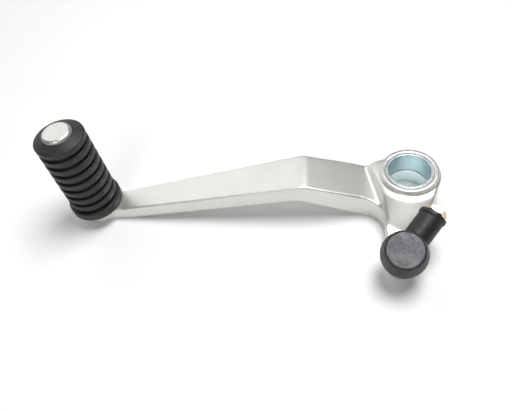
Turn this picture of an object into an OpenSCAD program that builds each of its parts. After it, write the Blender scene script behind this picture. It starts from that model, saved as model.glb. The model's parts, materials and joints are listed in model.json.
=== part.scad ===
// Foot gear shift lever for a motorcycle: a cranked aluminium arm with a steel-bushed
// pivot, a ribbed rubber toe peg and a ball joint for the linkage rod.
// Origin at mid length on the pivot axis, +Z along that axis towards the peg side,
// -X towards the peg. The lever's flat underside is at z = -pivot_len / 2.

/* [Pivot] */
// Diameter of the bush bore that turns on the pivot pin
pivot_bore_d = 16.1; // [14.1:0.1:16.1]
// Outside diameter of the pressed-in bushes
bush_d = 18.7; // [18.2:0.1:19.2]
// Length of the pivot, face to face
pivot_len = 16; // [15:0.5:18]
// Length of the upper bush
bush_upper_len = 9; // [7:0.5:10]
// Gap left between the two bushes for grease
bush_gap = 0.3; // [0.2:0.1:1]
// Diameter of the raised collar round the upper bush
collar_d = 22.4; // [22:0.1:22.8]
// Height of the collar above its foot
collar_h = 2.2; // [1.5:0.1:3]
// Diameter of the pivot boss
boss_d = 24.6; // [24.4:0.1:25.4]

/* [Arm] */
// Distance between the pivot axis and the peg axis
peg_distance = 133.4; // [125:0.1:145]
// Distance from the pivot axis to the knee of the arm
knee_distance = 41.8; // [38:0.1:48]
// Height of the knee's top above the middle of the pivot
knee_z = 11.4; // [9:0.1:13]
// Width of the arm at the peg
arm_w_peg = 10.5; // [8:0.1:11]
// Width of the arm at the knee
arm_w_knee = 17.5; // [15:0.1:18.5]
// Width of the arm where it meets the boss
arm_w_root = 18.8; // [17:0.1:20]
// Thickness of the arm under the peg
seat_t = 6.3; // [5:0.1:7]
// Thickness of the arm at the knee
knee_t = 8.4; // [7:0.1:9]
// Height of the arm's upper face where it meets the boss
root_z = 1.7; // [1:0.1:3]

/* [Ear] */
// Offset of the ball stud from the pivot axis along X
ball_x = -6.7; // [-8:0.1:-6]
// Offset of the ball's centre from the pivot axis along Y
ball_y = -37; // [-40:0.5:-36]
// Height of the ball's centre above the middle of the pivot
ball_z = 5.1; // [5:0.1:6]
// Lean of the stud and of the ear's upper face towards -Y, in degrees
ear_slope = 13; // [11:0.5:14]
// Width of the ear's free end
ear_w = 9.4; // [9.3:0.1:10]

/* [Peg] */
// Diameter of the rubber at the arm
rubber_base_d = 22.5; // [21.5:0.1:24]
// Diameter of the lowest rib, above the flange at the arm
rib_base_d = 20.9; // [20:0.1:21.5]
// Diameter of the rubber at the free end
rubber_tip_d = 20.1; // [18.5:0.1:21]
// Height of the shallow cone round the button
rubber_crown = 1.5; // [0.8:0.1:1.8]
// Length of the rubber
rubber_len = 40.9; // [40:0.1:44]
// Number of grooves round the rubber
groove_count = 8; // [6:1:8]
// Distance from one groove to the next
groove_pitch = 4.47; // [4.2:0.01:4.6]
// Width of one groove
groove_w = 1.9; // [1.4:0.1:2.2]
// Depth of one groove
groove_depth = 1.4; // [0.8:0.1:1.8]
// Diameter of the steel pin inside the rubber
pin_d = 9.5; // [8.5:0.1:11]
// Diameter of the pin's button head
button_d = 11.8; // [11.4:0.1:13]

/* [Ball joint] */
// Diameter of the ball
ball_d = 9; // [8.8:0.1:9]
// Outside diameter of the steel socket
socket_d = 14.4; // [14.2:0.1:14.7]
// Diameter of the socket's shank
shank_d = 7; // [6.6:0.1:7]
// Distance from the ball's centre to the end of the shank
shank_len = 20.5; // [20:0.5:24]
// Core diameter of the linkage thread in the shank
thread_core_d = 5; // [4.2:0.1:5]
// Thickness of the rubber cover
cover_t = 1.3; // [1.1:0.1:1.5]
// Direction of the shank round the stud, in degrees from +X
shank_heading = 50.5; // [40:0.5:60]
// Rise of the shank above square to the stud, in degrees
shank_rise = 7; // [0:0.5:8]

/* [Hidden] */
$fn = 96;

eps = 0.01;
reach = 60;

// Pivot
top_z = pivot_len / 2;
base_z = -pivot_len / 2;
collar_foot_z = top_z - collar_h;
collar_flare_r = (boss_d - collar_d) / 2 - 0.05;
plateau_d = 27.6;
plateau_drop = 0.4;
boss_cone_d = 48;
boss_cone_z = -0.6;
cone_end_x = 12.6;
cone_end_turn = 13;
cone_end_slope = 70;
boss_lap = 0.15;
bush_chamfer = 0.3;

// Arm
seat_z = base_z + seat_t;
seat_d = 16.8;
seat_blend_angle = 30;
seat_blend_r = 9;
arm_offset_y = -0.5;
seat_rise_x = 12;
seat_rise_r = 20;
seat_underside_x = 13.4;
knee_underside_x = 2.5;
knee_r = 9;
root_x = 13;
root_r = 5;
root_underside_x = 18;

// Ear
stud_h = 8.5;
ear_end_r = 4.4;
ear_corner_x = -10.3;
ear_fillet_r = 8.5;
ear_flare = 0.2;
ear_taper = 1.9;
ear_step = 0.5;
foot_y = ball_y + stud_h * sin(ear_slope);
foot_z = ball_z - stud_h * cos(ear_slope);
ear_end_y = foot_y - ear_w / 2;

// Peg
pin_foot_d = 8;
button_h = 3.2;
button_rim_r = 1.5;
rubber_shoulder_r = 0.5;
crown_land = 0.1;
rubber_top_z = seat_z + rubber_len;
button_top_z = rubber_top_z + 1.5;
last_groove_top = 5.74;
groove_draft = 0.25;

// Ball joint, measured from the ball's centre
neck_d = 4.8;
flange_d = 8.6;
flange_t = 1.3;
rivet_d = 6;
race_in_r = ball_d / 2 + 0.05;
race_out_r = 5.6;
cavity_r = race_out_r + 0.05;
race_gap_angle = 10;
race_lower_angle = 30;
race_upper_angle = 44;
mouth_r = 4.5;
socket_bottom = -4.2;
socket_top = 6;
cup_bevel = 1.6;
cup_rim_r = 6.85;
cup_rim_drop = 1.8;
plate_d = 13;
plate_t = 1.4;
plate_top = 6.9;
thread_depth = 11;
thread_chamfer = 0.6;
hex_len = 2.1;
hex_af = 7.1;
hex_turn = 30;
sleeve_d = shank_d + 2.7;
lip_d = 10.4;
lip_from = 16.5;
lip_to = 18;
sleeve_to = lip_to - 0.5;
cover_mouth_r = 4.75;
cover_foot_r = 6.2;
cover_bottom = -5.2;
cover_side_low = -2.2;
cover_side_high = 1.8;
cover_side_r = 5;
cover_hole_r = 6.55;
cover_lip_r = 7.1;
cover_top = 6.6;
cover_lip_round_r = 0.25;

function unit(v) = v / norm(v);

// Points of an arc of radius r that rounds the corner at b on the way from a to c.
function round_corner(a, b, c, r, steps = 8) =
    let (
        to_a = unit(a - b),
        to_c = unit(c - b),
        half = acos(to_a * to_c) / 2,
        centre = b + unit(to_a + to_c) * r / sin(half),
        start = b + to_a * r / tan(half) - centre,
        turn = sign(cross(b - a, c - b)) * (180 - 2 * half),
        first = atan2(start.y, start.x)
    )
    [for (i = [0:steps]) centre + r * [cos(first + turn * i / steps), sin(first + turn * i / steps)]];

// An outline from corners written as [x, y, radius]; a radius of 0 keeps the corner sharp.
function outline(corners) =
    let (n = len(corners), xy = [for (p = corners) [p[0], p[1]]])
    [for (i = [0:n - 1])
        each (corners[i][2] == 0
            ? [xy[i]]
            : round_corner(xy[(i + n - 1) % n], xy[i], xy[(i + 1) % n], corners[i][2]))];

// Puts its children in the stud's frame: origin at the ball's centre, +Z along the stud.
module at_stud() {
    translate([ball_x, ball_y, ball_z])
        rotate([ear_slope, 0, 0])
            children();
}

// Puts its children in the socket's frame: +X along the shank, +Z out through the cover plate.
module at_socket() {
    at_stud()
        rotate([0, 0, shank_heading])
            rotate([0, -shank_rise, 0])
                children();
}

// A cylinder along +X from x0 to x1.
module rod_x(x0, x1, d) {
    translate([x0, 0, 0])
        rotate([0, 90, 0])
            cylinder(h = x1 - x0, d = d);
}

// Side view of the arm, cut from the plan view to give it its crank.
module arm_side() {
    peg_end = -peg_distance - seat_d;
    rotate([90, 0, 0])
        linear_extrude(height = 2 * reach, center = true)
            polygon(outline([
                [peg_end, base_z, 0],
                [-peg_distance + seat_underside_x, base_z, seat_rise_r],
                [-knee_distance - knee_underside_x, knee_z - knee_t, knee_r],
                [-root_underside_x, base_z, root_r],
                [boss_d, base_z, 0],
                [boss_d, root_z, 0],
                [-root_x, root_z, root_r],
                [-knee_distance, knee_z, knee_r],
                [-peg_distance + seat_rise_x, seat_z, seat_rise_r],
                [peg_end, seat_z, 0]
            ]));
}

// Plan view of the whole lever: round seat, arm, round inner corner and ear.
module lever_plan() {
    corner_w = arm_w_knee + (arm_w_root - arm_w_knee) * (knee_distance + ear_corner_x) / knee_distance;
    front = -1;
    back = 1;
    function arm_edge(width, side) = arm_offset_y + side * width / 2;
    blend_start = seat_d / 2 * [sin(seat_blend_angle), cos(seat_blend_angle)];
    function seat_edge(side) = [blend_start.x - peg_distance, side * blend_start.y, 0];
    function neck_edge(side) =
        let (
            y = arm_edge(arm_w_peg, side),
            run = (blend_start.y - side * y) / tan(seat_blend_angle)
        )
        [blend_start.x - peg_distance + run, y, seat_blend_r];
    ear_left = [ball_x - ear_w / 2 - ear_flare, ear_end_y];
    ear_right = [ball_x + ear_w / 2 - ear_taper, ear_end_y];
    boss_r = boss_d / 2 - boss_lap;
    side_angle = atan2(ear_right.y, ear_right.x) + acos(boss_r / norm(ear_right));
    polygon(outline([
        [-peg_distance, 0, 0],
        seat_edge(front),
        neck_edge(front),
        [-knee_distance, arm_edge(arm_w_knee, front), 0],
        [ear_corner_x, arm_edge(corner_w, front), ear_fillet_r],
        [ear_left.x, ear_left.y, ear_end_r],
        [ear_right.x, ear_right.y, ear_end_r],
        [boss_r * cos(side_angle), boss_r * sin(side_angle), 0],
        [0, 0, 0],
        [0, arm_edge(arm_w_root, back), 0],
        [-knee_distance, arm_edge(arm_w_knee, back), 0],
        neck_edge(back),
        seat_edge(back)
    ]));
    translate([-peg_distance, 0])
        circle(d = seat_d);
}

// Space over the ear, cut away to give its upper face the slope that squares it to the stud.
module ear_slope_cut() {
    near_y = arm_offset_y - arm_w_root / 2 - ear_step;
    near_z = foot_z + (near_y - foot_y) * tan(ear_slope);
    far_y = ear_end_y - ear_w;
    far_z = foot_z + (far_y - foot_y) * tan(ear_slope);
    rotate([90, 0, 90])
        linear_extrude(height = reach, center = true)
            polygon([[near_y, near_z], [near_y, reach], [far_y, reach], [far_y, far_z]]);
}

// Pivot boss and its raised collar, which flares out at its foot.
module boss() {
    rotate_extrude()
        polygon(outline([
            [0, base_z, 0],
            [boss_d / 2, base_z, 0],
            [boss_d / 2, collar_foot_z, 0],
            [collar_d / 2, collar_foot_z, collar_flare_r],
            [collar_d / 2, top_z, 0],
            [0, top_z, 0]
        ]));
}

// Narrow plateau round the collar's foot and the cone from it down onto the ear. It ends at a
// slanted face where the arm's upper side runs up against the boss.
module boss_cone() {
    intersection() {
        rotate_extrude()
            polygon([
                [0, boss_cone_z],
                [boss_cone_d / 2, boss_cone_z],
                [plateau_d / 2, collar_foot_z - plateau_drop],
                [boss_d / 2, collar_foot_z],
                [0, collar_foot_z]
            ]);
        rotate([90, 0, cone_end_turn])
            linear_extrude(height = 2 * reach, center = true)
                polygon([
                    [-cone_end_x - (collar_foot_z - boss_cone_z) / tan(cone_end_slope), boss_cone_z],
                    [reach, boss_cone_z],
                    [reach, collar_foot_z],
                    [-cone_end_x, collar_foot_z]
                ]);
        linear_extrude(height = reach, center = true)
            lever_plan();
    }
}

module lever_arm() {
    color("gainsboro")
        difference() {
            union() {
                difference() {
                    intersection() {
                        arm_side();
                        linear_extrude(height = reach, center = true)
                            lever_plan();
                    }
                    ear_slope_cut();
                }
                boss_cone();
                boss();
            }
            cylinder(h = 2 * pivot_len, d = bush_d, center = true);
            translate([-peg_distance, 0, base_z - 1])
                cylinder(h = seat_t + 2, d = pin_foot_d);
            at_stud()
                translate([0, 0, -2 * reach])
                    cylinder(h = 2 * reach, d = rivet_d);
        }
}

// Pressed-in pivot bush from z0 to z1, chamfered inside at its outer end.
module pivot_bush(z0, z1, chamfer_z, chamfer_side) {
    color("lightsteelblue")
        difference() {
            translate([0, 0, z0])
                cylinder(h = z1 - z0, d = bush_d);
            translate([0, 0, z0 - 1])
                cylinder(h = z1 - z0 + 2, d = pivot_bore_d);
            translate([0, 0, chamfer_z])
                mirror([0, 0, chamfer_side])
                    translate([0, 0, -eps])
                        cylinder(h = bush_chamfer + eps,
                                 r1 = pivot_bore_d / 2 + bush_chamfer + eps, r2 = pivot_bore_d / 2);
        }
}

module bush_upper() {
    pivot_bush(top_z - bush_upper_len, top_z, top_z, 1);
}

module bush_lower() {
    pivot_bush(base_z, top_z - bush_upper_len - bush_gap, base_z, 0);
}

// Steel pin through the rubber, riveted in the arm and closed by a rounded button.
module peg_pin() {
    r = button_d / 2;
    head_z = button_top_z - button_h;
    color("whitesmoke")
        translate([-peg_distance, 0, 0]) {
            translate([0, 0, base_z])
                cylinder(h = seat_t, d = pin_foot_d);
            translate([0, 0, seat_z])
                cylinder(h = head_z - seat_z + eps, d = pin_d);
            rotate_extrude()
                polygon(outline([
                    [0, head_z, 0],
                    [r, head_z, 0],
                    [r, button_top_z, button_rim_r],
                    [0, button_top_z, 0]
                ]));
        }
}

// Ribbed rubber sleeve, tapering from the arm to a rounded shoulder at the tip.
module peg_rubber() {
    first_low = last_groove_top - groove_w;
    rib_rise = last_groove_top + (groove_count - 1) * groove_pitch;
    slope = (rib_base_d - rubber_tip_d) / 2 / rib_rise;
    function rib_r(height) = rib_base_d / 2 - slope * height;
    grooves = [
        for (i = [0:groove_count - 1])
            let (low = first_low + i * groove_pitch, high = low + groove_w)
            each [
                [i == 0 ? rubber_base_d / 2 : rib_r(low), low],
                [rib_r(low) - groove_depth, low + groove_draft],
                [rib_r(high) - groove_depth, high - groove_draft],
                [rib_r(high), high]
            ]
    ];
    crown_top = [button_d / 2 + crown_land, rubber_len];
    shoulder = round_corner(
        [rubber_tip_d / 2, rib_rise],
        [rubber_tip_d / 2, rubber_len - rubber_crown],
        crown_top,
        rubber_shoulder_r
    );
    head_z = button_top_z - button_h - seat_z;
    color("dimgray")
        translate([-peg_distance, 0, seat_z])
            difference() {
                rotate_extrude()
                    polygon(concat([[0, 0], [rubber_base_d / 2, 0]], grooves, shoulder,
                                   [crown_top, [0, rubber_len]]));
                translate([0, 0, -1])
                    cylinder(h = rubber_len + 2, d = pin_d);
                translate([0, 0, head_z])
                    cylinder(h = rubber_len, d = button_d);
            }
}

// Ball stud riveted through the ear, its foot flush with the lever's underside.
module ball_stud() {
    color("silver")
        intersection() {
            at_stud() {
                sphere(d = ball_d);
                translate([0, 0, -stud_h])
                    cylinder(h = stud_h - ball_d / 4, d = neck_d);
                translate([0, 0, -stud_h])
                    cylinder(h = flange_t, d = flange_d);
                translate([0, 0, -2 * stud_h])
                    cylinder(h = stud_h + eps, d = rivet_d);
            }
            translate([ball_x - reach / 2, ball_y - reach / 2, base_z])
                cube(reach);
        }
}

// Ring cut from a spherical shell between two latitudes, measured from the ball's equator.
module race_ring(low_angle, high_angle) {
    far = 2 * race_out_r;
    color("ivory")
        difference() {
            intersection() {
                sphere(r = race_out_r);
                rotate_extrude()
                    polygon([
                        [0, 0],
                        far * [cos(low_angle), sin(low_angle)],
                        far * [cos(high_angle), sin(high_angle)]
                    ]);
            }
            sphere(r = race_in_r);
        }
}

module race_lower() {
    at_stud()
        race_ring(-race_lower_angle, -race_gap_angle);
}

module race_upper() {
    at_stud()
        rotate([0, 0, shank_heading])
            rotate([0, -shank_rise, 0])
                race_ring(race_gap_angle, race_upper_angle);
}

// Outer shape of the socket's cup, bevelled round its mouth and drawn in at its rim.
module socket_cup() {
    r = socket_d / 2;
    rotate_extrude()
        polygon([
            [0, socket_bottom],
            [r - cup_bevel, socket_bottom],
            [r, socket_bottom + cup_bevel],
            [r, socket_top - cup_rim_drop],
            [cup_rim_r, socket_top],
            [0, socket_top]
        ]);
}

// Steel socket: a cup for the ball and a shank with the linkage thread and a hexagonal end.
module socket() {
    hex_d = hex_af / cos(30);
    color("peru")
        at_socket()
            difference() {
                union() {
                    socket_cup();
                    rod_x(0, shank_len, shank_d);
                    translate([shank_len - hex_len, 0, 0])
                        rotate([hex_turn, 0, 0])
                            rotate([0, 90, 0])
                                cylinder(h = hex_len, d = hex_d, $fn = 6);
                }
                sphere(r = cavity_r);
                cylinder(h = 2 * socket_top, r = cavity_r);
                translate([0, 0, 2 * socket_bottom])
                    cylinder(h = -2 * socket_bottom, r = mouth_r);
                translate([0, 0, plate_top - plate_t])
                    cylinder(h = socket_top, d = plate_d);
                rod_x(shank_len - thread_depth, shank_len + 1, thread_core_d);
                translate([shank_len + eps, 0, 0])
                    rotate([0, -90, 0])
                        cylinder(h = thread_chamfer + eps,
                                 d1 = thread_core_d + 2 * (thread_chamfer + eps), d2 = thread_core_d);
            }
}

// Round plate that closes the socket above the ball.
module cover_plate() {
    color("slategray")
        at_socket()
            translate([0, 0, plate_top - plate_t])
                cylinder(h = plate_t, d = plate_d);
}

// Rubber cover over the socket, with a sleeve along the shank that ends in a lip.
module dust_cover() {
    r = socket_d / 2 + cover_t;
    color("black")
        at_socket()
            difference() {
                union() {
                    rotate_extrude()
                        polygon(outline([
                            [0, cover_bottom, 0],
                            [cover_foot_r, cover_bottom, 0],
                            [r, cover_side_low, cover_side_r],
                            [r, cover_side_high, cover_side_r],
                            [cover_lip_r, cover_top, cover_lip_round_r],
                            [0, cover_top, 0]
                        ]));
                    rod_x(0, sleeve_to, sleeve_d);
                    rod_x(lip_from, lip_to, lip_d);
                }
                socket_cup();
                translate([0, 0, 2 * cover_bottom])
                    cylinder(h = -2 * cover_bottom, r = cover_mouth_r);
                cylinder(h = 2 * cover_top, r = cover_hole_r);
                rod_x(0, shank_len, shank_d);
            }
}

lever_arm();
bush_upper();
bush_lower();
peg_pin();
peg_rubber();
ball_stud();
race_lower();
race_upper();
socket();
cover_plate();
dust_cover();
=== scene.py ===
import json
import math

import bmesh
import bpy
from mathutils import Matrix, Quaternion, Vector


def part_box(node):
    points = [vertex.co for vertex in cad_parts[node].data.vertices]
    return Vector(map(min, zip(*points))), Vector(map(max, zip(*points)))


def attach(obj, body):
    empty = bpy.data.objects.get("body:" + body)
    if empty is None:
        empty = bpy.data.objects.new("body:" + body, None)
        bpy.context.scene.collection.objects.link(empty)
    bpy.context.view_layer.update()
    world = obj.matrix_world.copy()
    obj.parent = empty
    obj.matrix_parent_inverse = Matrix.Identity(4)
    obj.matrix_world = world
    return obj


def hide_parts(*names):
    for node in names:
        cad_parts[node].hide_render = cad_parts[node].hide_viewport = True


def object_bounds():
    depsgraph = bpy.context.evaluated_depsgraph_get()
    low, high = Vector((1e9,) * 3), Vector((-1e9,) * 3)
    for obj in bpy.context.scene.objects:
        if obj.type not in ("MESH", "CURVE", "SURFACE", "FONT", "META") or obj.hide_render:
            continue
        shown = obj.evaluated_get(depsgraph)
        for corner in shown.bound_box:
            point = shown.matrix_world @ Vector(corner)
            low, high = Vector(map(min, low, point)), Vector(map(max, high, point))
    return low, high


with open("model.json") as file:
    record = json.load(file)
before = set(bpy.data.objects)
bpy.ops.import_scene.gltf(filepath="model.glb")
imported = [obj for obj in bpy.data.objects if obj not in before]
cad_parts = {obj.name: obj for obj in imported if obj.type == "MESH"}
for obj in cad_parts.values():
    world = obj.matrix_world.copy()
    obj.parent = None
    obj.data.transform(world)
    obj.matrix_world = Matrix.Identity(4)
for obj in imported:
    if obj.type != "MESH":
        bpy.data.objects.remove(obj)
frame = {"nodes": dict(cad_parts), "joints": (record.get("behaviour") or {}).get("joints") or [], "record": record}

# The looks of a gear shift lever: a forged aluminium arm with a steel-bushed pivot, a ribbed
# rubber toe peg and a rubber-booted ball joint. Sizes of the pieces and of every material's marks
# are in millimetres. The floor's size, the lights and the camera are in metres.
MM = 0.001
CAD_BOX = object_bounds()
JOINTS = {joint["name"]: joint for joint in frame["joints"]}
MOUNTS = {mount["name"]: mount for mount in frame["record"]["mounts"]}


# ---------------------------------------------------------------- frames of reference

def socket_matrix():
    """The socket's own frame: +X along the shank, +Z out through the closing plate."""
    along = Vector(JOINTS["ball_roll"]["axis"]).normalized()
    across = Vector(JOINTS["ball_tilt"]["axis"]).normalized()
    out = along.cross(across)
    turn = Matrix((along, across, out)).transposed().to_4x4()
    return Matrix.Translation(JOINTS["ball_roll"]["pos_m"]) @ turn


def stud_matrix():
    """The ball stud's own frame: +Z along the stud, from the ear through the ball."""
    turn = Vector((0, 0, 1)).rotation_difference(Vector(JOINTS["ball_turn"]["axis"]))
    return Matrix.Translation(JOINTS["ball_turn"]["pos_m"]) @ turn.to_matrix().to_4x4()


def peg_matrix():
    """The peg's own frame: +Z from the arm's seat to the button, origin on the seat."""
    low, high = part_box("peg_rubber")
    return Matrix.Translation(((low.x + high.x) / 2, (low.y + high.y) / 2, low.z))


SOCKET = socket_matrix()
STUD = stud_matrix()
PEG = peg_matrix()
ALONG_SHANK = SOCKET @ Matrix.Rotation(math.pi / 2, 4, "Y")


# ---------------------------------------------------------------- mesh helpers

def rounded(corners, steps=6, hold=0.05):
    """A profile from corners (x, y, radius), with an arc at each corner that has a radius.

    A holding point beside each end of an arc keeps the flat next to it shaded flat.
    """
    points = []
    count = len(corners)
    for i, (x, y, radius) in enumerate(corners):
        corner = Vector((x, y))
        if radius == 0:
            points.append(corner)
            continue
        back = (Vector(corners[i - 1][:2]) - corner).normalized()
        ahead = (Vector(corners[(i + 1) % count][:2]) - corner).normalized()
        half = back.angle(ahead) / 2
        centre = corner + (back + ahead).normalized() * radius / math.sin(half)
        start = corner + back * radius / math.tan(half)
        end = corner + ahead * radius / math.tan(half)
        sweep = (start - centre).angle_signed(end - centre)
        points.append(start + back * hold)
        for step in range(steps + 1):
            turn = Matrix.Rotation(-sweep * step / steps, 2)
            points.append(centre + turn @ (start - centre))
        points.append(end + ahead * hold)
    return [(point.x, point.y) for point in points]


def lathe(name, profile, matrix, segments=160, ring=False):
    """Turns a profile of (radius, height) in mm about +Z. A radius may be a function of the angle.

    A ring's profile is a closed loop. A solid's profile starts and ends on the axis.
    """
    bm = bmesh.new()
    loops = []
    for radius, height in profile:
        if radius == 0:
            loops.append([bm.verts.new((0, 0, height))])
            continue
        loop = []
        for i in range(segments):
            angle = 2 * math.pi * i / segments
            r = radius(angle) if callable(radius) else radius
            loop.append(bm.verts.new((r * math.cos(angle), r * math.sin(angle), height)))
        loops.append(loop)
    pairs = list(zip(loops, loops[1:]))
    if ring:
        pairs.append((loops[-1], loops[0]))
    for low, high in pairs:
        for i in range(segments):
            j = (i + 1) % segments
            corners = [low[i % len(low)], low[j % len(low)], high[j % len(high)], high[i % len(high)]]
            without_repeats = list(dict.fromkeys(corners))
            bm.faces.new(without_repeats)
    bmesh.ops.recalc_face_normals(bm, faces=bm.faces)
    bm.transform(matrix @ Matrix.Scale(MM, 4))
    return mesh_object(name, bm)


def mesh_object(name, bm):
    """A smooth-shaded object in the scene, made from a bmesh, which it frees."""
    mesh = bpy.data.meshes.new(name)
    bm.to_mesh(mesh)
    bm.free()
    piece = bpy.data.objects.new(name, mesh)
    bpy.context.scene.collection.objects.link(piece)
    shade(piece)
    return piece


def shade(piece, sharp_angle=38):
    """Shades a piece smooth, apart from edges that turn by more than an angle in degrees."""
    piece.data.shade_smooth()
    piece.data.set_sharp_from_angle(angle=math.radians(sharp_angle))


def copy_of(node, name):
    """A free copy of a CAD node's mesh, welded shut, to be reworked as a piece of its own."""
    bm = bmesh.new()
    bm.from_mesh(frame["nodes"][node].data)
    bmesh.ops.remove_doubles(bm, verts=bm.verts, dist=0.001 * MM)
    return mesh_object(name, bm)


def bake_modifiers(piece):
    """Replaces the piece's mesh by what its modifiers make of it."""
    evaluated = piece.evaluated_get(bpy.context.evaluated_depsgraph_get())
    mesh = bpy.data.meshes.new_from_object(evaluated)
    piece.modifiers.clear()
    old, piece.data = piece.data, mesh
    mesh.name = piece.name
    bpy.data.meshes.remove(old)


def remesh(piece, voxel_mm):
    """Gives the piece an even grid of small faces."""
    grid = piece.modifiers.new("even_grid", "REMESH")
    grid.mode = "VOXEL"
    grid.voxel_size = voxel_mm * MM
    bake_modifiers(piece)


def smooth(piece, rounds, softness):
    """Rounds a remeshed piece; softness(point_mm) is how much a point gives way, 0 to 1."""
    group = piece.vertex_groups.new(name="soft")
    for vertex in piece.data.vertices:
        group.add([vertex.index], softness(vertex.co / MM), "REPLACE")
    relax = piece.modifiers.new("soft_edges", "SMOOTH")
    relax.factor = 0.5
    relax.iterations = rounds
    relax.vertex_group = group.name
    bake_modifiers(piece)
    piece.vertex_groups.clear()
    piece.data.shade_smooth()


def unite(piece, other):
    """Makes one closed piece of two that overlap, kept in the first."""
    boolean = piece.modifiers.new("boolean", "BOOLEAN")
    boolean.operation = "UNION"
    boolean.solver = "EXACT"
    boolean.object = other
    bake_modifiers(piece)
    bpy.data.objects.remove(other)
    shade(piece)


def cut_below(piece, height):
    """Cuts a closed piece off flat at a height."""
    bm = bmesh.new()
    bm.from_mesh(piece.data)
    everything = bm.verts[:] + bm.edges[:] + bm.faces[:]
    cut = bmesh.ops.bisect_plane(
        bm, geom=everything, plane_co=(0, 0, height), plane_no=(0, 0, -1), clear_outer=True)
    rim = [item for item in cut["geom_cut"] if isinstance(item, bmesh.types.BMEdge)]
    bmesh.ops.holes_fill(bm, edges=rim)
    bm.to_mesh(piece.data)
    bm.free()
    shade(piece)


# ---------------------------------------------------------------- material helpers

class Finish:
    """A principled material with procedural detail; plain values go straight on the shader."""

    def __init__(self, name, **values):
        self.material = bpy.data.materials.new(name)
        self.material.use_nodes = True
        self.nodes = self.material.node_tree.nodes
        self.links = self.material.node_tree.links
        self.shader = self.nodes["Principled BSDF"]
        for socket, value in values.items():
            self.shader.inputs[socket.replace("_", " ")].default_value = value
        self.place = self.nodes.new("ShaderNodeTexCoord").outputs["Object"]

    def stretched(self, factors):
        """Object coordinates scaled unevenly, for marks that run one way."""
        mapping = self.nodes.new("ShaderNodeMapping")
        mapping.inputs["Scale"].default_value = factors
        self.links.new(self.place, mapping.inputs["Vector"])
        return mapping.outputs["Vector"]

    def in_frame(self, matrix):
        """Coordinates in mm in a part's own frame."""
        inverse = matrix.inverted()
        mapping = self.nodes.new("ShaderNodeMapping")
        mapping.inputs["Location"].default_value = inverse.to_translation() / MM
        mapping.inputs["Rotation"].default_value = inverse.to_euler()
        mapping.inputs["Scale"].default_value = (1 / MM,) * 3
        self.links.new(self.place, mapping.inputs["Vector"])
        return mapping.outputs["Vector"]

    def noise(self, size_mm, detail=3, rough=0.55, vector=None):
        """Noise whose blotches are about size_mm across."""
        node = self.nodes.new("ShaderNodeTexNoise")
        node.inputs["Scale"].default_value = 1 / (size_mm * MM)
        node.inputs["Detail"].default_value = detail
        node.inputs["Roughness"].default_value = rough
        self.links.new(vector or self.place, node.inputs["Vector"])
        return node.outputs["Fac"]

    def turned(self, matrix, pitch_mm, wander=0.6):
        """Fine rings round the +Z axis of a frame, as a lathe leaves them."""
        radius = self.nodes.new("ShaderNodeVectorMath")
        radius.operation = "LENGTH"
        flat = self.nodes.new("ShaderNodeVectorMath")
        flat.operation = "MULTIPLY"
        flat.inputs[1].default_value = (1, 1, 0)
        self.links.new(self.in_frame(matrix), flat.inputs[0])
        self.links.new(flat.outputs["Vector"], radius.inputs[0])
        node = self.nodes.new("ShaderNodeTexNoise")
        node.noise_dimensions = "1D"
        node.inputs["Scale"].default_value = 1 / pitch_mm
        node.inputs["Detail"].default_value = 3
        node.inputs["Roughness"].default_value = wander
        self.links.new(radius.outputs["Value"], node.inputs["W"])
        return node.outputs["Fac"]

    def spread(self, source, low, high, start=0.3, end=0.7):
        """A value between low and high as the source goes from start to end."""
        node = self.nodes.new("ShaderNodeMapRange")
        node.inputs["From Min"].default_value = start
        node.inputs["From Max"].default_value = end
        node.inputs["To Min"].default_value = low
        node.inputs["To Max"].default_value = high
        self.links.new(source, node.inputs["Value"])
        return node.outputs["Result"]

    def colours(self, source, *stops):
        """A colour ramp over the source, from stops (position, (r, g, b))."""
        node = self.nodes.new("ShaderNodeValToRGB")
        ramp = node.color_ramp
        while len(ramp.elements) < len(stops):
            ramp.elements.new(0.5)
        for element, (position, colour) in zip(ramp.elements, stops):
            element.position = position
            element.color = (*colour, 1)
        self.links.new(source, node.inputs["Fac"])
        return node.outputs["Color"]

    def mixed(self, factor, first, second):
        """One colour over another by a factor; each is an output or a plain colour."""
        node = self.nodes.new("ShaderNodeMix")
        node.data_type = "RGBA"
        self.links.new(factor, node.inputs["Factor"])
        # The node has a set of sockets for each data type, and these are the colour ones.
        first_colour = node.inputs[6]
        second_colour = node.inputs[7]
        mixed_colour = node.outputs[2]
        for socket, colour in ((first_colour, first), (second_colour, second)):
            if isinstance(colour, tuple):
                socket.default_value = (*colour, 1)
            else:
                self.links.new(colour, socket)
        return mixed_colour

    def bump(self, *layers):
        """Bumps from layers (height, depth in mm, strength), laid one over another."""
        normal = None
        for height, depth_mm, strength in layers:
            node = self.nodes.new("ShaderNodeBump")
            node.inputs["Distance"].default_value = depth_mm * MM
            node.inputs["Strength"].default_value = strength
            self.links.new(height, node.inputs["Height"])
            if normal:
                self.links.new(normal, node.inputs["Normal"])
            normal = node.outputs["Normal"]
        self.links.new(normal, self.shader.inputs["Normal"])

    def feed(self, socket, source):
        """Drives one of the shader's inputs by a source."""
        self.links.new(source, self.shader.inputs[socket])


# ---------------------------------------------------------------- materials

def blasted_aluminium():
    """Bead-blasted and clear-anodised forging: even satin with faint clouds and a fine grain."""
    look = Finish("blasted_aluminium", Metallic=0.85, Specular_IOR_Level=0.5)
    clouds = look.noise(9, 2)
    look.feed("Base Color", look.colours(
        clouds, (0.3, (0.70, 0.695, 0.665)), (0.7, (0.74, 0.735, 0.705))))
    look.feed("Roughness", look.spread(look.noise(0.9, 4), 0.39, 0.44))
    look.bump((look.noise(0.35, 3), 0.03, 0.35), (look.noise(0.12, 2), 0.02, 0.5))
    return look.material


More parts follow.
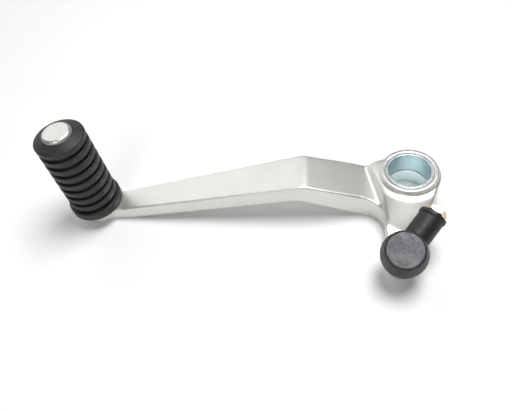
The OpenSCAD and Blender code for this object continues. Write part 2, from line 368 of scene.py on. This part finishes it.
def machined_aluminium():
    """The faced ends of the boss, with turning marks round the pivot."""
    look = Finish("machined_aluminium", Metallic=0.9)
    look.feed("Base Color", look.colours(
        look.noise(4, 3), (0.3, (0.68, 0.68, 0.66)), (0.7, (0.76, 0.76, 0.74))))
    look.feed("Roughness", look.spread(look.noise(1.5, 4), 0.30, 0.42))
    look.bump((look.turned(Matrix.Identity(4), 0.12), 0.015, 0.6))
    return look.material


def zinc_plate(name, dark, pale, roughness):
    """Blue-passivated zinc on steel: a cyan cast that drifts, with reaming marks."""
    look = Finish(name, Metallic=1.0)
    look.feed("Base Color", look.colours(look.noise(5, 3), (0.25, dark), (0.75, pale)))
    look.feed("Roughness", look.spread(look.noise(1.2, 4), roughness, roughness + 0.1))
    reaming = look.noise(6, 2, vector=look.stretched((1, 1, 12)))
    look.bump((reaming, 0.02, 0.04))
    return look.material


def faced_steel():
    """The bushes' ends, faced after plating: neutral steel with turning marks."""
    look = Finish("faced_steel", Metallic=1.0)
    look.feed("Base Color", look.colours(
        look.noise(3, 3), (0.3, (0.66, 0.68, 0.68)), (0.7, (0.76, 0.77, 0.76))))
    look.feed("Roughness", look.spread(look.noise(1.2, 4), 0.26, 0.38))
    look.bump((look.turned(Matrix.Identity(4), 0.15), 0.01, 0.5))
    return look.material


def button_steel():
    """Nickel-coloured button: satin crown with fine turned rings."""
    look = Finish("button_steel", Metallic=0.95)
    look.feed("Base Color", look.colours(
        look.noise(3, 3), (0.3, (0.64, 0.635, 0.615)), (0.7, (0.68, 0.675, 0.655))))
    look.feed("Roughness", look.spread(look.noise(1, 4), 0.34, 0.46))
    look.bump((look.turned(PEG, 0.2), 0.015, 0.4))
    return look.material


def moulded_rubber():
    """Black moulded rubber: fine grain, faint grey bloom and dust."""
    look = Finish("moulded_rubber", Specular_IOR_Level=0.5)
    bloom = look.noise(3, 5, 0.65)
    look.feed("Base Color", look.colours(
        bloom, (0.3, (0.007, 0.009, 0.010)), (0.75, (0.015, 0.018, 0.019))))
    look.feed("Roughness", look.spread(look.noise(1.4, 4), 0.42, 0.58))
    look.bump((look.noise(0.5, 3), 0.04, 0.3), (look.noise(0.15, 2), 0.02, 0.5))
    return look.material


def stud_steel():
    """Bright ground steel with hair-fine marks."""
    look = Finish("stud_steel", Metallic=1.0)
    look.feed("Base Color", look.colours(
        look.noise(2, 3), (0.3, (0.55, 0.55, 0.56)), (0.7, (0.66, 0.66, 0.67))))
    look.feed("Roughness", look.spread(look.noise(0.8, 4), 0.18, 0.30))
    look.bump((look.noise(0.2, 3), 0.01, 0.3))
    return look.material


def race_plastic():
    """Greased ivory acetal."""
    look = Finish("race_plastic", Subsurface_Weight=0.05, Specular_IOR_Level=0.5)
    look.feed("Base Color", look.colours(
        look.noise(2, 3), (0.3, (0.66, 0.62, 0.50)), (0.7, (0.74, 0.70, 0.60))))
    look.feed("Roughness", look.spread(look.noise(1, 3), 0.28, 0.45))
    look.bump((look.noise(0.3, 3), 0.02, 0.3))
    return look.material


def yellow_zinc():
    """Yellow-passivated zinc on the socket's steel: tan gold with paler patches."""
    look = Finish("yellow_zinc", Metallic=1.0)
    drift = look.noise(1.8, 4)
    look.feed("Base Color", look.colours(
        drift, (0.3, (0.58, 0.43, 0.31)), (0.5, (0.76, 0.65, 0.51)), (0.8, (0.86, 0.79, 0.68))))
    look.feed("Roughness", look.spread(look.noise(0.7, 4), 0.38, 0.50))
    look.bump((look.noise(0.25, 3), 0.02, 0.3))
    return look.material


def mottled_plate():
    """Dark phosphated plate, mottled and scuffed pale where it has been handled."""
    look = Finish("mottled_plate", Metallic=0.35)
    speckle = look.noise(0.8, 5, 0.7)
    smudge = look.noise(4, 3)
    dark = look.colours(speckle, (0.32, (0.06, 0.06, 0.066)), (0.7, (0.15, 0.15, 0.16)))
    scuffs = look.spread(smudge, 0, 0.6, start=0.45, end=0.75)
    look.feed("Base Color", look.mixed(scuffs, dark, (0.26, 0.26, 0.27)))
    look.feed("Roughness", look.spread(look.noise(1.5, 4), 0.45, 0.62))
    look.bump((look.noise(0.4, 4), 0.03, 0.4))
    return look.material


def pale_floor():
    """Matt white paper, very faintly clouded."""
    look = Finish("pale_floor", Roughness=0.9)
    look.feed("Base Color", look.colours(
        look.noise(40, 2), (0.3, (0.90, 0.90, 0.90)), (0.7, (0.92, 0.92, 0.92))))
    look.bump((look.noise(0.6, 3), 0.02, 0.1))
    return look.material


# ---------------------------------------------------------------- pieces

def finished(piece, body, slot, material, *nodes):
    """Paints a piece, hangs it on its body and lets it stand for its CAD nodes."""
    piece.data.materials.clear()
    piece.data.materials.append(material)
    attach(piece, body)
    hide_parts(*nodes)


def is_faced(face):
    """Whether a face lies square to the pivot axis, as the machined ends do."""
    return abs(face.normal.z) > 0.97


def build_arm():
    """The forging: soft edges but for a few crisp spots, and a full blend up to the boss.

    The crisp spots are the collar, the bore, the peg's seat and a patch of the ear. The patch lies
    to the -Y side of the ball's middle and not round the stud's foot, which is on the +Y side.
    """
    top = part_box("bush_upper")[1].z / MM
    collar_radius = 11.9
    collar_depth = 2.6
    collar_softness = 0.12
    peg = PEG.to_translation() / MM
    ball = STUD.to_translation() / MM
    bore_radius = 9.35
    pin_seat_radius = 4.0
    ear_patch_radius = 3.1
    ear_patch_shift = Vector((0, 1.0))
    crisp_spots = (
        (Vector((0, 0)), bore_radius),
        (peg.xy, pin_seat_radius),
        (ball.xy - ear_patch_shift, ear_patch_radius),
    )
    spot_border = 0.5
    spot_softness = 0.1

    def edge_softness(point):
        if point.xy.length < collar_radius and point.z > top - collar_depth:
            return collar_softness
        near = min((point.xy - centre).length - radius for centre, radius in crisp_spots)
        return spot_softness if near < spot_border else 1.0

    run_up_turn = math.radians(13)
    run_up_direction = Vector((math.cos(run_up_turn), math.sin(run_up_turn)))
    run_up_middle = -13.8
    run_up_reach = 4.0
    run_up_floor = 0.5
    collar_border = 1

    def run_up_softness(point):
        """Where the arm's upper side runs up to the boss the forging has its fullest blend."""
        if point.z < run_up_floor or point.xy.length < collar_radius + collar_border:
            return 0.0
        away = abs(point.xy.dot(run_up_direction) - run_up_middle)
        return max(0.0, 1 - away / run_up_reach)

    arm = copy_of("lever_arm", "forged_arm")
    remesh(arm, voxel_mm=0.3)
    smooth(arm, rounds=20, softness=edge_softness)
    smooth(arm, rounds=60, softness=run_up_softness)
    finished(arm, "lever", "satin_aluminium", blasted_aluminium(), "lever_arm")
    arm.data.materials.append(machined_aluminium())
    faced_above = top - 0.2
    faced_below = -top + 0.1
    for face in arm.data.polygons:
        centre = face.center / MM
        at_end = centre.z > faced_above or centre.z < faced_below
        if at_end and is_faced(face) and centre.xy.length < collar_radius:
            face.material_index = 1


def build_bushes():
    """Two plated bushes with faced ends. The upper one's zinc is given a darker colour as painted shade, and the
    lower one's a near-white colour as painted reflection of the lit table seen down the bore.
    """
    # The two zinc colours differ only as painted light: darker on the upper bush for painted shade, near white on
    # the lower one for painted reflection.
    shade_painted_zinc = zinc_plate("zinc_with_painted_shade", (0.42, 0.58, 0.62), (0.64, 0.79, 0.81), 0.32)
    reflection_painted_zinc = zinc_plate("zinc_with_painted_reflection", (0.84, 0.97, 0.98), (0.95, 1.0, 1.0), 0.30)
    steel = faced_steel()
    inner = MOUNTS["pivot_bore"]["dims"]["r_mm"]
    inner_round = 0.3
    outer_round = 0.15
    for node, zinc in (("bush_upper", shade_painted_zinc), ("bush_lower", reflection_painted_zinc)):
        low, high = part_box(node)
        outer = (high.x - low.x) / 2 / MM
        profile = rounded([
            (inner, low.z / MM, inner_round),
            (outer, low.z / MM, outer_round),
            (outer, high.z / MM, outer_round),
            (inner, high.z / MM, inner_round),
        ])
        bush = lathe("turned_" + node, profile, Matrix.Identity(4), segments=192, ring=True)
        finished(bush, "lever", "zinc_steel", zinc, node)
        bush.data.materials.append(steel)
        for face in bush.data.polygons:
            if is_faced(face):
                face.material_index = 1


def build_peg():
    """The ribbed rubber sleeve, and the pin inside it whose rounded button closes the peg."""
    low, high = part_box("peg_rubber")
    length = (high.z - low.z) / MM
    base_radius = (high.x - low.x) / 2 / MM
    rib_radius = 10.45
    tip_radius = 10.05
    cone_height = 1.5
    groove_count = 8
    pitch = 4.47
    first_top = 5.74
    groove = 1.9
    depth = 1.4
    draft = 0.25
    rib_round = 0.5
    groove_round = 0.35
    bore_radius = 4.75
    head_radius = 5.9
    head_gap = 0.05
    head_depth = 1.7
    head_floor = length - head_depth

    def radius_at(height):
        share = min(1, height / (first_top + (groove_count - 1) * pitch))
        return rib_radius + (tip_radius - rib_radius) * share

    corners = [(bore_radius, 0, 0), (base_radius, 0, 0.4)]
    for i in range(groove_count):
        top = first_top + i * pitch
        bottom = top - groove
        corners += [
            (base_radius if i == 0 else radius_at(bottom), bottom, rib_round),
            (radius_at(bottom) - depth, bottom + draft, groove_round),
            (radius_at(top) - depth, top - draft, groove_round),
            (radius_at(top), top, rib_round),
        ]
    corners += [
        (tip_radius, length - cone_height, rib_round),
        (head_radius + head_gap, length, 0.05),
        (head_radius, head_floor, 0),
        (bore_radius, head_floor, 0),
    ]
    rubber = lathe("ribbed_peg_rubber", rounded(corners), PEG, segments=224, ring=True)
    finished(rubber, "lever", "black_rubber", moulded_rubber(), "peg_rubber")

    pin_low, pin_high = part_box("peg_pin")
    foot = (pin_low.z - low.z) / MM
    foot_radius = 4.0
    crown = (pin_high.z - low.z) / MM
    crown_rise = 0.1
    profile = rounded([
        (0, foot, 0),
        (foot_radius, foot, 0.3),
        (foot_radius, 0, 0),
        (bore_radius, 0, 0.1),
        (bore_radius, head_floor, 0),
        (head_radius, head_floor, 0.2),
        (head_radius, crown - crown_rise, 1.3),
        (0, crown, 0),
    ], steps=10)
    pin = lathe("peg_button_pin", profile, PEG, segments=192)
    finished(pin, "lever", "button_metal", button_steel(), "peg_pin")


def build_stud():
    """The ball on its neck and flange, and the rivet shank, cut off level with the table."""
    ball_radius = 4.5
    neck_radius = 2.4
    neck_angle = math.asin(neck_radius / ball_radius)
    rivet_radius = 3.0
    flange_radius = 4.3
    seat = -8.5
    flange_height = 1.3
    flange_top = seat + flange_height
    foot = rounded([
        (0, 2 * seat, 0),
        (rivet_radius, 2 * seat, 0),
        (rivet_radius, seat, 0.1),
        (flange_radius, seat, 0.3),
        (flange_radius, flange_top, 0.4),
        (neck_radius, flange_top, 0.5),
        (neck_radius, -ball_radius * math.cos(neck_angle), 0),
    ])
    steps = 40
    sweep = math.pi - neck_angle
    arc = [sweep - sweep * i / steps for i in range(steps)]
    ball = [(ball_radius * math.sin(a), ball_radius * math.cos(a)) for a in arc]
    profile = foot[:-1] + ball + [(0, ball_radius)]
    stud = lathe("polished_ball_stud", profile, STUD, segments=128)
    cut_below(stud, CAD_BOX[0].z)
    finished(stud, "lever", "stud_steel", stud_steel(), "ball_stud")


def build_races():
    """Two plastic half shells between the ball and the socket, each between two latitudes."""
    plastic = race_plastic()
    inner = 4.55
    outer = 5.6
    steps = 12
    halves = (
        ("race_half_lower", "lower_race", "race_lower", STUD, -30, -10),
        ("race_half_upper", "upper_race", "race_upper", SOCKET, 10, 44),
    )
    for name, body, node, matrix, start, end in halves:
        angles = [math.radians(start + (end - start) * i / steps) for i in range(steps + 1)]
        profile = [(outer * math.cos(a), outer * math.sin(a)) for a in angles]
        profile += [(inner * math.cos(a), inner * math.sin(a)) for a in reversed(angles)]
        race = lathe(name, profile, matrix, segments=128, ring=True)
        finished(race, body, "race_plastic", plastic, node)


def socket_cup():
    """The cup round the ball: a bevel at its mouth, a taper to its rim and the plate's seat."""
    cavity = 5.65
    mouth = 4.5
    mouth_top = -math.sqrt(cavity ** 2 - mouth ** 2)
    floor = -4.2
    bevel = 1.6
    cup_radius = 7.2
    rim = 6.0
    rim_radius = 6.85
    taper_height = 1.8
    recess = 6.5
    seat = 5.5
    steps = 16
    lowest = math.asin(mouth_top / cavity)
    angles = [lowest - lowest * i / steps for i in range(steps + 1)]
    wall = [(cavity * math.cos(a), cavity * math.sin(a)) for a in angles]
    shell = rounded([
        (cavity, seat, 0.1),
        (recess, seat, 0.1),
        (recess, rim, 0.1),
        (rim_radius, rim, 0.1),
        (cup_radius, rim - taper_height, 0.4),
        (cup_radius, floor + bevel, 0.4),
        (cup_radius - bevel, floor, 0.4),
        (mouth, floor, 0.2),
        (mouth, mouth_top, 0),
    ])
    return lathe("socket_body", wall + shell[:-1], SOCKET, segments=160, ring=True)


def hexagon(flat, limit):
    """A hexagon's radius as a function of the angle, its corners cut off at a limit."""
    sixth = math.pi / 3
    half = math.pi / 6
    return lambda angle: min(limit, flat / math.cos((angle + half) % sixth - half))


def socket_shank():
    """The shank, which starts inside the cup's wall, with its hexagonal end and its tapped hole."""
    start = 6.2
    end = 20.5
    sleeve_gap = 0.02
    shank_radius = 3.5 - sleeve_gap
    hex_length = 2.1
    hex_start = end - hex_length
    flat = 3.55
    corner_radius = 4.1
    chamfer_height = 0.4
    inner_chamfer = 0.6
    outer_chamfer = 0.52
    chamfer_steps = 4
    core = 2.5
    countersink_width = 0.75
    thread_start = end - 0.5
    pitch = 1.0
    thread = 0.5
    run_out = 2
    hole_floor = 9.5
    drill_point = 0.9
    steps_per_turn = 10

    def threaded(height):
        """The tapped hole's radius as a function of the angle; its ridges fade out at its floor."""
        def radius(angle):
            phase = 2 * math.pi * height / pitch - angle
            fade = min(1, (height - hole_floor) / run_out)
            return core + thread * fade * (0.5 + 0.5 * math.cos(phase))
        return radius

    shares = [i / chamfer_steps for i in range(chamfer_steps + 1)]
    profile = [(0, start), (shank_radius, start), (shank_radius, hex_start)]
    for share in shares:
        limit = corner_radius - inner_chamfer * (1 - share)
        profile.append((hexagon(flat, limit), hex_start + chamfer_height * share))
    for share in shares:
        limit = corner_radius - outer_chamfer * share
        profile.append((hexagon(flat, limit), end - chamfer_height * (1 - share)))
    profile.append((core + countersink_width, end))
    for i in range(int((thread_start - hole_floor) / pitch * steps_per_turn)):
        height = thread_start - i * pitch / steps_per_turn
        profile.append((threaded(height), height))
    profile += [(core, hole_floor), (0, hole_floor - drill_point)]
    return lathe("shank", profile, ALONG_SHANK, segments=192)


def build_socket():
    """The steel socket: the cup and the shank in one."""
    socket = socket_cup()
    unite(socket, socket_shank())
    finished(socket, "rod_end", "yellow_zinc_steel", yellow_zinc(), "socket")


def build_plate():
    """The round plate that closes the socket over the ball."""
    radius = 6.5
    top = 6.9
    seat = 5.5
    profile = rounded([
        (0, seat, 0),
        (radius, seat, 0.1),
        (radius, top, 0.3),
        (0, top, 0),
    ])
    plate = lathe("closing_plate", profile, SOCKET, segments=192)
    finished(plate, "rod_end", "grey_plate", mottled_plate(), "cover_plate")


def build_boot():
    """The moulded rubber cover over the socket, with its sleeve and lip on the shank."""
    boot = copy_of("dust_cover", "rubber_boot")
    remesh(boot, voxel_mm=0.2)
    smooth(boot, rounds=8, softness=lambda point: 1.0)
    finished(boot, "rod_end", "black_rubber", moulded_rubber(), "dust_cover")


# ---------------------------------------------------------------- stage

def build_floor():
    """The table that the lever lies on."""
    bm = bmesh.new()
    bmesh.ops.create_grid(bm, x_segments=8, y_segments=8, size=2.5)
    floor = mesh_object("floor", bm)
    floor.location.z = CAD_BOX[0].z
    floor.data.materials.append(pale_floor())


def softbox(name, direction, distance, size, power):
    """A square white light in a direction from the lever's middle, aimed at it."""
    middle = (CAD_BOX[0] + CAD_BOX[1]) / 2
    light = bpy.data.lights.new(name, "AREA")
    light.shape = "SQUARE"
    light.size = size
    light.energy = power
    lamp = bpy.data.objects.new(name, light)
    away = Vector(direction).normalized()
    lamp.location = middle + away * distance
    lamp.rotation_mode = "QUATERNION"
    lamp.rotation_quaternion = away.to_track_quat("Z", "Y")
    bpy.context.scene.collection.objects.link(lamp)


def build_lights():
    """A small light overhead, a wide one behind on the left and one in front, in a dim room."""
    world = bpy.data.worlds.new("studio")
    bpy.context.scene.world = world
    world.use_nodes = True
    background = world.node_tree.nodes["Background"]
    background.inputs["Color"].default_value = (0.97, 0.985, 1.0, 1)
    background.inputs["Strength"].default_value = 0.08
    softbox("overhead", (0.26, 0.18, 1.0), distance=0.6, size=0.3, power=3.5)
    softbox("back_left", (-0.6, 0.68, 0.57), distance=0.9, size=0.85, power=2.85)
    softbox("front_top", (-0.2, -0.72, 0.62), distance=0.8, size=0.4, power=1.75)
    bpy.context.scene.view_settings.view_transform = "Standard"


def build_camera():
    """The lever seen from in front and above, with the frame rolled a little clockwise."""
    target = Vector((-0.06315, -0.00198, CAD_BOX[0].z))
    azimuth = math.radians(-12.01)
    elevation = math.radians(51.82)
    roll = math.radians(-12.04)
    distance = 0.21428
    back = Vector((
        -math.sin(azimuth) * math.cos(elevation),
        -math.cos(azimuth) * math.cos(elevation),
        math.sin(elevation),
    ))
    lens = bpy.data.cameras.new("camera")
    lens.sensor_width = 36
    lens.lens = 34.742
    lens.clip_start = 0.01
    camera = bpy.data.objects.new("camera", lens)
    camera.location = target + back * distance
    camera.rotation_mode = "QUATERNION"
    camera.rotation_quaternion = back.to_track_quat("Z", "Y") @ Quaternion((0, 0, 1), roll)
    bpy.context.scene.collection.objects.link(camera)
    bpy.context.scene.camera = camera


build_camera()
build_lights()
build_floor()
build_arm()
build_bushes()
build_peg()
build_stud()
build_races()
build_socket()
build_plate()
build_boot()
